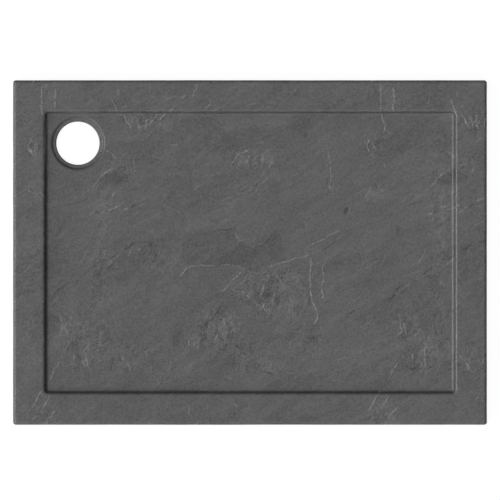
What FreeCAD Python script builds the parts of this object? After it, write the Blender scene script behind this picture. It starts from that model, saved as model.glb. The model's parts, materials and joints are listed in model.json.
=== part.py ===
"""Low-profile shower tray with a slate-effect face, a corner waste and a honeycomb-backed casting.

Units are millimetres. The origin is the middle of the footprint, on the ground.
+X is the long way, +Y runs to the back wall and +Z is up. The waste is in the corner at -X, +Y.
"""
import FreeCAD, Part
import math
import os
import re

import Sketcher

Vector = FreeCAD.Vector

os.makedirs("parts", exist_ok=True)
doc = FreeCAD.newDocument("shower_tray")

# ---------------------------------------------------------------- driving dimensions

SIZES = (
    ("tray_length", 1100, "overall, along X"),
    ("tray_width", 800, "overall, along Y"),
    ("tray_height", 40, "underside to rim"),
    ("rim_width", 75, "outer edge to the middle of the step"),
    ("edge_radius", 6.5, "rounding of the outer edge and of the top of the step"),
    ("floor_radius", 6.5, "rounding where the step meets the floor"),
    ("floor_height", 19, "underside to the floor, at the rebate"),
    ("floor_slope", 0.0076, "fall of the floor to the waste, rise over run"),
    ("sheet_thick", 3, "formed sheet of the face"),
    ("skirt_lift", 1, "bottom of the sheet's skirt above the ground"),
    ("mat_thick", 1.5, "glass-fibre laminate behind the sheet"),
    ("mat_setback", 23, "laminate's edge round the waste, from the back of the rebate's wall"),
    ("strip_side", 4.5, "flat strip of floor between the roundings of the step and the rebate, at -X"),
    ("strip_back", 0.5, "the same strip at +Y"),
    ("rebate_radius", 60, "round rebate for the waste's flange"),
    ("rebate_depth", 8, "floor to the rebate's seat"),
    ("lip_radius", 4, "rounding of the rebate's top edge"),
    ("foot_radius", 3.5, "rounding at the foot of the rebate's wall"),
    ("bore_radius", 50, "waste hole"),
    ("bore_edge", 3, "rounding of the waste hole's top edge"),
    ("ring_width", 25, "radial width of the ring under the rebate"),
    ("block_radius", 32, "leg block"),
    ("block_height", 12, "leg block"),
    ("pilot_circle", 44, "diameter of the circle of pilot holes in a leg block"),
    ("pilot_radius", 1.6, "pilot hole"),
    ("pilot_depth", 9, "pilot hole"),
    ("leg_inset", 108, "outer leg blocks to the tray's edge"),
    ("leg_from_waste", 185, "leg blocks beside the waste to the waste's axis"),
    ("cell_flat", 52, "honeycomb cell across flats"),
    ("cell_depth", 8, "honeycomb cell"),
    ("rib_thick", 10, "rib between two cells"),
    ("band_width", 34, "solid band round the edge of the underside"),
    ("pad_margin", 6, "solid casting round a leg block and round the ring"),
)
PILOT_COUNT = 3

sheet = doc.addObject("Spreadsheet::Sheet", "Sizes")
for number, (alias, value, note) in enumerate(SIZES, 1):
    sheet.set(f"A{number}", alias)
    sheet.set(f"B{number}", str(value))
    sheet.set(f"C{number}", note)
    sheet.setAlias(f"B{number}", alias)
doc.recompute()

# Places and sizes that several pieces share, as expressions on the sheet
REBATE_ROOM = "(rim_width + floor_radius + lip_radius + rebate_radius)"
WASTE_X = f"({REBATE_ROOM} + strip_side - tray_length / 2)"
WASTE_Y = f"(tray_width / 2 - {REBATE_ROOM} - strip_back)"
SEAT_Z = "(floor_height - rebate_depth)"
LEG_X = "(tray_length / 2 - leg_inset)"
LEG_Y = "(tray_width / 2 - leg_inset)"
BESIDE_X = f"({WASTE_X} + leg_from_waste)"
BESIDE_Y = f"({WASTE_Y} - leg_from_waste)"
RING_RADIUS = "(bore_radius + sheet_thick + ring_width)"
CELL_PITCH = "(cell_flat + rib_thick)"
CELL_CORNER = "(cell_flat / sqrt(3))"

# The fillets' edges are found by their place, to this tolerance
NEAR = 0.05
# Cutters run this far past the face that they open
OVERRUN = 5


def on_sheet(expression):
    """Point each alias in an expression at the sheet."""
    return re.sub(r"\b[a-z]+_[a-z_]+\b", r"Sizes.\g<0>", expression)


def size(expression):
    """The value of an expression on the sheet, in millimetres."""
    result = sheet.evalExpression(on_sheet(expression))
    return float(getattr(result, "Value", result))


def bind(item, **sizes):
    """Bind properties of an object to expressions on the sheet."""
    for name, expression in sizes.items():
        item.setExpression(name, on_sheet(expression))


def place(item, x="0", y="0", z="0"):
    """Bind an object's position to expressions on the sheet."""
    for axis, expression in (("x", x), ("y", y), ("z", z)):
        item.setExpression("Placement.Base." + axis, on_sheet(expression))


def primitive(kind, name, x="0", y="0", z="0", **sizes):
    """A primitive solid, sized and placed from the sheet."""
    item = doc.addObject("Part::" + kind, name)
    bind(item, **sizes)
    place(item, x, y, z)
    return item


def combine(kind, name, base, tool):
    """A boolean of two shapes."""
    item = doc.addObject("Part::" + kind, name)
    item.Base = base
    item.Tool = tool
    return item


def group(name, items):
    """Several cutters as one."""
    item = doc.addObject("Part::Compound", name)
    item.Links = items
    return item


def ground_sketch(body, name, z="0"):
    """A sketch on the body's own XY plane, lifted by z."""
    sketch = body.newObject("Sketcher::SketchObject", name)
    plane = [item for item in body.Origin.OriginFeatures if item.Role == "XY_Plane"][0]
    sketch.AttachmentSupport = [(plane, "")]
    sketch.MapMode = "FlatFace"
    sketch.setExpression("AttachmentOffset.Base.z", on_sheet(z))
    return sketch


def constrain(sketch, name, *rule, expression):
    """A named dimension of a sketch, bound to the sheet."""
    index = sketch.addConstraint(Sketcher.Constraint(*rule))
    sketch.renameConstraint(index, name)
    sketch.setExpression("Constraints." + name, on_sheet(expression))


def fillet(body, base, radius, wanted):
    """Round the edges of a body's feature that the test picks."""
    doc.recompute()
    edges = [f"Edge{i}" for i, edge in enumerate(base.Shape.Edges, 1) if wanted(edge)]
    rounding = body.newObject("PartDesign::Fillet", body.Name + "_fillet")
    rounding.Base = (base, edges)
    bind(rounding, Radius=radius)
    body.Tip = rounding
    return body


def rounded(name, base, radius, wanted):
    """A body that takes a boolean's shape and rounds some of its edges."""
    body = doc.addObject("PartDesign::Body", name)
    body.BaseFeature = base
    doc.recompute()
    return fillet(body, body.Group[0], radius, wanted)


def is_level(edge, z):
    box = edge.BoundBox
    return box.ZLength < NEAR and abs(box.ZMin - z) < NEAR


def is_waste_circle(edge, radius, z):
    return is_level(edge, z) and abs(edge.BoundBox.XLength - 2 * radius) < NEAR


# ---------------------------------------------------------------- the tray's form at a depth below its face


def slab(name, inward, bottom):
    """The tray as a block with rounded corners and a rounded top edge."""
    body = doc.addObject("PartDesign::Body", name)
    sketch = ground_sketch(body, name + "_outline", bottom)
    corners = [Vector(-1, -1, 0), Vector(1, -1, 0), Vector(1, 1, 0), Vector(-1, 1, 0)]
    for i in range(4):
        sketch.addGeometry(Part.LineSegment(corners[i] * 100, corners[(i + 1) % 4] * 100), False)
    for i in range(4):
        sketch.addConstraint(Sketcher.Constraint("Coincident", i, 2, (i + 1) % 4, 1))
        sketch.addConstraint(Sketcher.Constraint("Vertical" if i % 2 else "Horizontal", i))
    sketch.addConstraint(Sketcher.Constraint("Symmetric", 0, 1, 2, 1, -1, 1))
    constrain(sketch, "length", "DistanceX", 0, 1, 0, 2, 200, expression=f"tray_length - 2 * {inward}")
    constrain(sketch, "width", "DistanceY", 1, 1, 1, 2, 200, expression=f"tray_width - 2 * {inward}")
    pad = body.newObject("PartDesign::Pad", name + "_pad")
    pad.Profile = sketch
    bind(pad, Length=f"tray_height - {inward} - {bottom}")
    ground = size(bottom)
    return fillet(body, pad, f"edge_radius - {inward}", lambda edge: not is_level(edge, ground))


def recess(name, inward):
    """What the dished floor and the rebate take out of the slab, rounded as the floor is."""
    rise = f"(tray_height - floor_height + {inward} + {OVERRUN})"
    half_length = f"(tray_length / 2 - rim_width + {inward})"
    half_width = f"(tray_width / 2 - rim_width + {inward})"
    well = primitive("Box", name + "_well", f"-{half_length}", f"-{half_width}", f"floor_height - {inward}",
                     Length=f"2 * {half_length}", Width=f"2 * {half_width}", Height=rise)
    fall = primitive("Cone", name + "_fall", WASTE_X, WASTE_Y, f"floor_height - {inward}",
                     Radius1="rebate_radius", Radius2=f"rebate_radius + {rise} / floor_slope", Height=rise)
    dish = combine("Common", name + "_dish", well, fall)
    drain = size(f"floor_height - {inward}")
    opening = size("tray_height") + OVERRUN
    dish = rounded(
        name + "_dish_rounded", dish, f"floor_radius + {inward}",
        lambda edge: not is_level(edge, opening) and not is_level(edge, drain))

    seat = drain - size("rebate_depth")
    radius = size(f"rebate_radius + {inward}")
    rim_of_rebate = drain + size(f"{inward} * floor_slope")
    well = primitive("Cylinder", name + "_rebate", WASTE_X, WASTE_Y, f"{SEAT_Z} - {inward}",
                     Radius=f"rebate_radius + {inward}", Height="rebate_depth + lip_radius")
    dish = combine("Fuse", name + "_with_rebate", dish, well)
    dish.Refine = True
    if size(f"lip_radius - {inward}") > NEAR:
        dish = rounded(name + "_lip", dish, f"lip_radius - {inward}",
                       lambda edge: is_waste_circle(edge, radius, rim_of_rebate))
    return rounded(name + "_foot", dish, f"foot_radius + {inward}",
                   lambda edge: is_waste_circle(edge, radius, seat))


def tray_form(name, inward, bottom):
    """The whole tray, as solid, with its face moved inward."""
    dished = combine("Cut", name + "_dished", slab(name + "_slab", inward, bottom), recess(name, inward))
    top = size(f"tray_height - {inward}")
    step_x = size(f"tray_length / 2 - rim_width + {inward}") + NEAR
    step_y = size(f"tray_width / 2 - rim_width + {inward}") + NEAR
    dished = rounded(
        name + "_step", dished, f"edge_radius - {inward}",
        lambda edge: is_level(edge, top) and edge.BoundBox.XMax < step_x and edge.BoundBox.YMax < step_y)
    bore = primitive("Cylinder", name + "_bore", WASTE_X, WASTE_Y, f"-{OVERRUN}",
                     Radius=f"bore_radius + {inward}", Height=f"floor_height + {OVERRUN}")
    form = combine("Cut", name + "_bored", dished, bore)
    if size(f"bore_edge - {inward}") > NEAR:
        seat = size(f"{SEAT_Z} - {inward}")
        radius = size(f"bore_radius + {inward}")
        form = rounded(name + "_bore_edge", form, f"bore_edge - {inward}",
                       lambda edge: is_waste_circle(edge, radius, seat))
    return form


# ---------------------------------------------------------------- the pieces


def make_slate_cap(face, back_of_sheet):
    """The formed sheet: rim, skirt, step, floor, rebate and the collar of the waste hole."""
    return combine("Cut", "slate_cap", face, back_of_sheet)


def make_glass_mat(back_of_sheet, back_of_mat):
    """The laminate behind the sheet, short of the ground and cut back round the waste."""
    shell = combine("Cut", "mat_shell", back_of_sheet, back_of_mat)
    opening = primitive("Cylinder", "mat_waste_opening", WASTE_X, WASTE_Y,
                        Radius="rebate_radius + sheet_thick + mat_setback",
                        Height="floor_height + edge_radius")
    hem = primitive("Box", "mat_hem", "-tray_length / 2", "-tray_width / 2",
                    Length="tray_length", Width="tray_width", Height="skirt_lift")
    return combine("Cut", "glass_mat", shell, group("mat_trim", [opening, hem]))


def make_waste_ring(back_of_sheet):
    """The ring between the back of the rebate's seat and the ground."""
    disc = primitive("Cylinder", "waste_disc", WASTE_X, WASTE_Y,
                     Radius=RING_RADIUS, Height=f"{SEAT_Z} - sheet_thick")
    return combine("Common", "waste_ring", disc, back_of_sheet)


def leg_places():
    """Corners and long sides, with two blocks beside the waste in place of its corner."""
    return (
        (LEG_X, LEG_Y),
        (f"({BESIDE_X} + {LEG_X}) / 2", LEG_Y),
        (BESIDE_X, LEG_Y),
        (f"-{LEG_X}", BESIDE_Y),
        (f"-{LEG_X}", f"-{LEG_Y}"),
        ("0", f"-{LEG_Y}"),
        (LEG_X, f"-{LEG_Y}"),
        ("0", "0"),
    )


def make_leg_block(number, x, y):
    """A round block with a circle of blind pilot holes in its underside."""
    name = f"leg_block_{number}"
    body = doc.addObject("PartDesign::Body", name)
    disc = ground_sketch(body, name + "_disc")
    disc.addGeometry(Part.Circle(Vector(0, 0, 0), Vector(0, 0, 1), 10), False)
    disc.addConstraint(Sketcher.Constraint("Coincident", 0, 3, -1, 1))
    constrain(disc, "radius", "Radius", 0, 10, expression="block_radius")
    pad = body.newObject("PartDesign::Pad", name + "_pad")
    pad.Profile = disc
    bind(pad, Length="block_height")

    spot = ground_sketch(body, name + "_pilot")
    spot.addGeometry(Part.Circle(Vector(10, 0, 0), Vector(0, 0, 1), 2), False)
    spot.addConstraint(Sketcher.Constraint("PointOnObject", 0, 3, -1))
    constrain(spot, "reach", "DistanceX", -1, 1, 0, 3, 10, expression="pilot_circle / 2")
    constrain(spot, "radius", "Radius", 0, 2, expression="pilot_radius")
    pilot = body.newObject("PartDesign::Pocket", name + "_pilot_hole")
    pilot.Profile = spot
    pilot.Reversed = True
    bind(pilot, Length="pilot_depth")

    pilots = body.newObject("PartDesign::PolarPattern", name + "_pilot_holes")
    pilots.Originals = [pilot]
    pilots.Axis = (spot, ["N_Axis"])
    pilots.Angle = 360
    pilots.Occurrences = PILOT_COUNT
    body.Tip = pilots
    place(body, x, y)
    return body


def leg_seats():
    """The places that the casting leaves for the leg blocks."""
    return [
        primitive("Cylinder", f"leg_seat_{number}", x, y, Radius="block_radius", Height="block_height")
        for number, (x, y) in enumerate(leg_places(), 1)
    ]


def cell_places():
    """Middles of the honeycomb cells that lie clear of the band, the ring and the leg blocks."""
    corner = size(CELL_CORNER)
    reach_x = size(f"tray_length / 2 - sheet_thick - mat_thick - band_width - {CELL_CORNER}")
    reach_y = size("tray_width / 2 - sheet_thick - mat_thick - band_width - cell_flat / 2")
    keep_out = [(size(WASTE_X), size(WASTE_Y), size(f"{RING_RADIUS} + pad_margin") + corner)]
    for x, y in leg_places():
        keep_out.append((size(x), size(y), size("block_radius + pad_margin") + corner))
    step_x = size(f"{CELL_PITCH} * sqrt(3) / 2")
    step_y = size(CELL_PITCH)
    columns = int(reach_x / step_x)
    rows = int(reach_y / step_y) + 1
    for column in range(-columns, columns + 1):
        for row in range(-rows, rows + 1):
            shift = 0.5 * (column % 2)
            x = column * step_x
            y = (row + shift) * step_y
            clear = all(math.hypot(x - a, y - b) > far for a, b, far in keep_out)
            if clear and abs(y) <= reach_y:
                yield f"{column} * {CELL_PITCH} * sqrt(3) / 2", f"({row} + {shift}) * {CELL_PITCH}"


def make_cells():
    """The open hexagonal cells in the casting's underside."""
    cells = []
    for number, (x, y) in enumerate(cell_places(), 1):
        cell = primitive("Prism", f"cell_{number}", x, y, Circumradius=CELL_CORNER, Height="cell_depth")
        cell.Polygon = 6
        cells.append(cell)
    print("honeycomb cells:", len(cells))
    return cells


def make_resin_core(back_of_sheet, glass_mat, waste_ring):
    """The casting that fills the sheet round the mat, the ring and the leg blocks."""
    hollows = [glass_mat, waste_ring] + leg_seats() + make_cells()
    return combine("Cut", "resin_core", back_of_sheet, group("core_hollows", hollows))


def main():
    face = tray_form("face", "0", "skirt_lift")
    back_of_sheet = tray_form("back_of_sheet", "sheet_thick", "0")
    back_of_mat = tray_form("back_of_mat", "(sheet_thick + mat_thick)", "0")
    glass_mat = make_glass_mat(back_of_sheet, back_of_mat)
    waste_ring = make_waste_ring(back_of_sheet)
    pieces = [
        make_slate_cap(face, back_of_sheet),
        glass_mat,
        waste_ring,
        make_resin_core(back_of_sheet, glass_mat, waste_ring),
    ]
    for number, (x, y) in enumerate(leg_places(), 1):
        pieces.append(make_leg_block(number, x, y))
    doc.recompute()

    failed = [item.Name for item in doc.Objects if "Invalid" in item.State or "Error" in item.State]
    if failed:
        raise RuntimeError("failed features: " + ", ".join(failed))
    for piece in pieces:
        piece.Label = piece.Name
        if piece.Shape.isNull() or not piece.Shape.isValid():
            raise RuntimeError("bad shape: " + piece.Label)
    for piece in pieces:
        piece.Shape.exportStep(f"parts/{piece.Label}.step")
        solids = len(piece.Shape.Solids)
        print(f"{piece.Label}: {solids} solid, {piece.Shape.Volume / 1000:.1f} cm3")


main()
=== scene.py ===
import json
import math

import bmesh
import bpy
import numpy as np
from bpy.props import FloatProperty, FloatVectorProperty, PointerProperty
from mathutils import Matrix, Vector
from mathutils.geometry import delaunay_2d_cdt

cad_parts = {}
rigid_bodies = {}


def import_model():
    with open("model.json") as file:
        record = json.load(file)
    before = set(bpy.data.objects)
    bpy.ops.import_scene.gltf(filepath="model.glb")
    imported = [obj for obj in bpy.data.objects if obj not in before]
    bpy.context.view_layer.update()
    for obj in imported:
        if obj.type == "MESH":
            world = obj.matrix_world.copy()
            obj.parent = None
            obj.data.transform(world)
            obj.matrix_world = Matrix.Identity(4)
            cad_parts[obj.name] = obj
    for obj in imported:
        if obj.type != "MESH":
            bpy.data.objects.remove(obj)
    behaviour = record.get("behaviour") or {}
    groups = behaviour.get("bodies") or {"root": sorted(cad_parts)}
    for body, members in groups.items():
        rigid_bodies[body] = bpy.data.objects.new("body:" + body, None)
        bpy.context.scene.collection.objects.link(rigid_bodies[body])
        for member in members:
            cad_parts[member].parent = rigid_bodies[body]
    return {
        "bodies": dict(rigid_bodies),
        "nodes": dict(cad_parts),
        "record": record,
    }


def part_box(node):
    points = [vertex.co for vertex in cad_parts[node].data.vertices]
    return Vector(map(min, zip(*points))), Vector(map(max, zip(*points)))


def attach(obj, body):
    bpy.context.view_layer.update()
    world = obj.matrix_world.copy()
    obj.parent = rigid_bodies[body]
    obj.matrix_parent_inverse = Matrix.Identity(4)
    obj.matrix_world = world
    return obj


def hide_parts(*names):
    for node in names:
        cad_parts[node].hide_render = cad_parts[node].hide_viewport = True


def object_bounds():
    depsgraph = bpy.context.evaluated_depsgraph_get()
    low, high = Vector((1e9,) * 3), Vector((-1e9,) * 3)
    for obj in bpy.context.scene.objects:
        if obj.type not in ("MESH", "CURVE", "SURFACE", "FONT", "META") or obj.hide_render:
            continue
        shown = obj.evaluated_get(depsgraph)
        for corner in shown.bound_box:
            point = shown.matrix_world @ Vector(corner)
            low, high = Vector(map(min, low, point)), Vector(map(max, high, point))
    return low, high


bl_info = {
    "name": "Slate-effect shower tray",
    "version": (1, 0, 0),
    "blender": (4, 5, 0),
    "location": "View3D > Sidebar > Tray",
    "description": "Dresses the packed shower tray: face, casting, laminate, mouldings and stage",
    "category": "Object",
}

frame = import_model()
CAD_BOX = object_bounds()
BODY = next(iter(frame["bodies"]))
MM = 0.001
FACE_TURNS = 5  # steps of the mesh in each quarter-round edge of the face
BACK_TURNS = 4  # and in those of the back of the sheet
SHARP_ANGLE = 50  # degrees, above which an edge of the sheet is shaded as sharp
WELD = 1e-6  # metres, within which vertices of the sheet are one
FAR = 1000.0  # millimetres, further than any cleft or plate's edge


def mount(name):
    """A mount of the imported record, by name."""
    return next(item for item in frame["record"]["mounts"] if item["name"] == name)


SHEET_LOW, SHEET_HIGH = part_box("slate_cap")
WASTE = Vector(mount("waste_bore")["pos_m"])
BORE_RADIUS = mount("waste_bore")["dims"]["r_mm"] * MM
SEAT_HEIGHT = mount("waste_seat")["pos_m"][2]


# ---------------------------------------------------------------- what a user would change


def number(name, description, default, **more):
    """A plain number."""
    return FloatProperty(name=name, description=description, default=default, **more)


def length(name, description, default):
    """A length in metres."""
    return number(name, description, default, subtype="DISTANCE", unit="LENGTH")


def share(name, description, default):
    """A share of the whole, from 0 to 1."""
    return number(name, description, default, subtype="FACTOR", min=0.0, max=1.0)


def colour(name, description, default):
    """A linear colour."""
    return FloatVectorProperty(name=name, description=description, default=default, subtype="COLOR", size=3,
                               min=0.0, max=1.0)


class TrayForm(bpy.types.PropertyGroup):
    """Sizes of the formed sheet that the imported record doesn't state, as in the part's source."""
    rim_width: length("Rim width", "Outer edge to the middle of the step", 0.075)
    edge_radius: length("Edge radius", "Rounding of the outer edge and of the top of the step", 0.0065)
    floor_radius: length("Floor radius", "Rounding where the step meets the floor", 0.0065)
    rebate_radius: length("Rebate radius", "Round rebate for the flange of the waste", 0.060)
    rebate_depth: length("Rebate depth", "From the floor down to the rebate's seat", 0.008)
    lip_radius: length("Lip radius", "Rounding of the rebate's top edge", 0.004)
    foot_radius: length("Foot radius", "Rounding at the foot of the rebate's wall", 0.0035)
    bore_edge: length("Bore edge", "Rounding of the waste hole's top edge", 0.003)
    sheet_thick: length("Sheet thickness", "Thickness of the formed sheet", 0.003)
    floor_slope: number("Floor slope", "Fall of the floor, rise over run", 0.0076)
    face_step: length("Face step", "Spacing of the mesh on the face", 0.0036)
    back_step: length("Back step", "Spacing of the mesh on the back of the sheet", 0.040)


class TraySlate(bpy.types.PropertyGroup):
    """The slate pattern and its finish."""
    tile: length("Tile", "The slate pattern repeats after this distance", 0.786)
    relief: number("Relief", "Height of the relief, 1 as drawn", 1.0)
    ground: colour("Ground", "Colour of the slate", (0.085, 0.085, 0.085))
    roughness: share("Roughness", "Roughness of the face", 0.33)


class TrayInside(bpy.types.PropertyGroup):
    """Colours of the pieces behind the face."""
    casting: colour("Casting", "Mineral-filled resin", (0.42, 0.41, 0.385))
    laminate: colour("Laminate", "Glass-fibre laminate", (0.52, 0.53, 0.46))
    moulding: colour("Moulding", "Ring and leg blocks", (0.030, 0.030, 0.033))


class TrayStage(bpy.types.PropertyGroup):
    """Floor, light and camera."""
    view_width: length("View width", "Width of the picture, measured at the rim", 1.16035)
    view_up: length("View up", "Middle of the picture, towards the back of the tray", 0.0058)
    view_height: length("Camera height", "Camera above the rim", 20.0)
    floor: colour("Floor", "Colour of the floor", (0.18, 0.18, 0.18))
    floor_glow: share("Floor glow", "Added white of the floor where the camera sees it", 0.86)
    key: number("Key light", "Strength of the light from the left", 1.20)
    fill: number("Fill light", "Strength of the light from the front", 0.45)
    soft: number("Soft light", "Strength of the wide light from the left", 1.92)
    sky: number("Sky", "Strength of the light from above and all round", 0.06)
    under_sky: number("Sky below", "Strength of the light from below the floor", 0.8)


# ---------------------------------------------------------------- shader expressions


class Wire:
    """An output socket that Python arithmetic turns into Math nodes."""

    def __init__(self, graph, socket):
        self.graph = graph
        self.socket = socket

    def _math(self, operation, first, second):
        return self.graph.node("ShaderNodeMath", {"operation": operation}, {0: first, 1: second})

    def __add__(self, other):
        return self._math("ADD", self, other)

    __radd__ = __add__

    def __sub__(self, other):
        return self._math("SUBTRACT", self, other)

    def __rsub__(self, other):
        return self._math("SUBTRACT", other, self)

    def __mul__(self, other):
        return self._math("MULTIPLY", self, other)

    __rmul__ = __mul__

    def __neg__(self):
        return self * -1.0


class Graph:
    """A node tree and the one way that nodes are added to it."""

    def __init__(self, owner):
        owner.use_nodes = True
        self.tree = owner.node_tree
        self.tree.nodes.clear()

    def node(self, kind, settings=None, values=None, output=0):
        """Add a node: its settings first, then a value or a link for each socket. Returns an output."""
        item = self.tree.nodes.new(kind)
        for name, setting in (settings or {}).items():
            setattr(item, name, setting)
        for name, value in (values or {}).items():
            socket = item.inputs[name]
            if isinstance(value, Wire):
                self.tree.links.new(value.socket, socket)
            else:
                socket.default_value = value
        return Wire(self, item.outputs[output]) if len(item.outputs) else item

    def place(self):
        """Coordinates of the object, in metres."""
        return self.node("ShaderNodeTexCoord", output="Object")

    def noise(self, vector, scale=1.0, detail=3.0, roughness=0.5, distortion=0.0):
        """Noise about 0, from -1 to 1."""
        value = self.node("ShaderNodeTexNoise", {"noise_dimensions": "3D"},
                          {"Vector": vector, "Scale": scale, "Detail": detail, "Roughness": roughness,
                           "Distortion": distortion}, "Fac")
        return value * 2.0 - 1.0

    def ramp(self, value, low, high):
        """0 below low, 1 above high and smooth between."""
        return self.node("ShaderNodeMapRange", {"interpolation_type": "SMOOTHSTEP"},
                         {"Value": value, "From Min": low, "From Max": high})

    def stretch(self, vector, angle, scale):
        """Coordinates turned by an angle about Z and scaled."""
        turned = self.node("ShaderNodeVectorRotate", {"rotation_type": "Z_AXIS"},
                           {"Vector": vector, "Angle": math.radians(angle)})
        return self.node("ShaderNodeVectorMath", {"operation": "MULTIPLY"}, {0: turned, 1: scale})

    def tint(self, rgb, level):
        """A colour made lighter or darker by a varying level."""
        return self.node("ShaderNodeVectorMath", {"operation": "SCALE"}, {0: rgb, "Scale": level})

    def field(self, name):
        """A value that the mesh holds at each point."""
        return self.node("ShaderNodeAttribute", {"attribute_type": "GEOMETRY", "attribute_name": name},
                         output="Fac")

    def size_of(self, value):
        """The value without its sign."""
        return self.node("ShaderNodeMath", {"operation": "ABSOLUTE"}, {0: value})

    def bump(self, height):
        """A Bump from a height in millimetres."""
        return self.node("ShaderNodeBump", {}, {"Height": height, "Distance": MM})


def material(name, **fixed):
    """A new material with a Principled shader. Returns it, its graph and a function that feeds the shader."""
    item = bpy.data.materials.new(name)
    graph = Graph(item)
    shader = graph.tree.nodes.new("ShaderNodeBsdfPrincipled")
    for socket, value in fixed.items():
        shader.inputs[socket.replace("_", " ")].default_value = value
    graph.node("ShaderNodeOutputMaterial", {}, {"Surface": Wire(graph, shader.outputs[0])})

    def feed(socket, value):
        """Link a varying value to one of the shader's sockets."""
        graph.tree.links.new(value.socket, shader.inputs[socket])

    return item, graph, feed


# ---------------------------------------------------------------- the slate pattern


def tile_noise(u, v, lattice, seed):
    """Smooth noise from about -1 to 1 that repeats with each whole step of u and of v.

    The lattice holds two rows of whole numbers: how often each lattice axis repeats along u and along v.
    The four decimal numbers only scatter the slopes at the lattice's points.
    """
    full = 1.5  # brings the sum to about -1 to 1
    (a, b), (c, d) = lattice
    det = a * d - b * c
    x = a * u + b * v
    y = c * u + d * v
    i = np.floor(x)
    j = np.floor(y)
    total = np.zeros_like(x)
    for di in (0, 1):
        for dj in (0, 1):
            p = np.mod(d * (i + di) - b * (j + dj), det)
            q = np.mod(a * (j + dj) - c * (i + di), det)
            angle = 2 * np.pi * np.mod(np.sin(p * 12.9898 + q * 78.233 + seed * 3.7) * 43758.5453, 1.0)
            dx = x - i - di
            dy = y - j - dj
            near = fade(1 - np.abs(dx)) * fade(1 - np.abs(dy))
            total += near * (np.cos(angle) * dx + np.sin(angle) * dy)
    return total * full


def fade(t):
    """0 below 0, 1 above 1 and smooth between."""
    t = np.clip(t, 0.0, 1.0)
    return t * t * t * (t * (6 * t - 15) + 10)


def even(count):
    """A square lattice, for tile_noise, with this many steps along each side of the tile."""
    return ((count, 0), (0, count))


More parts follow.
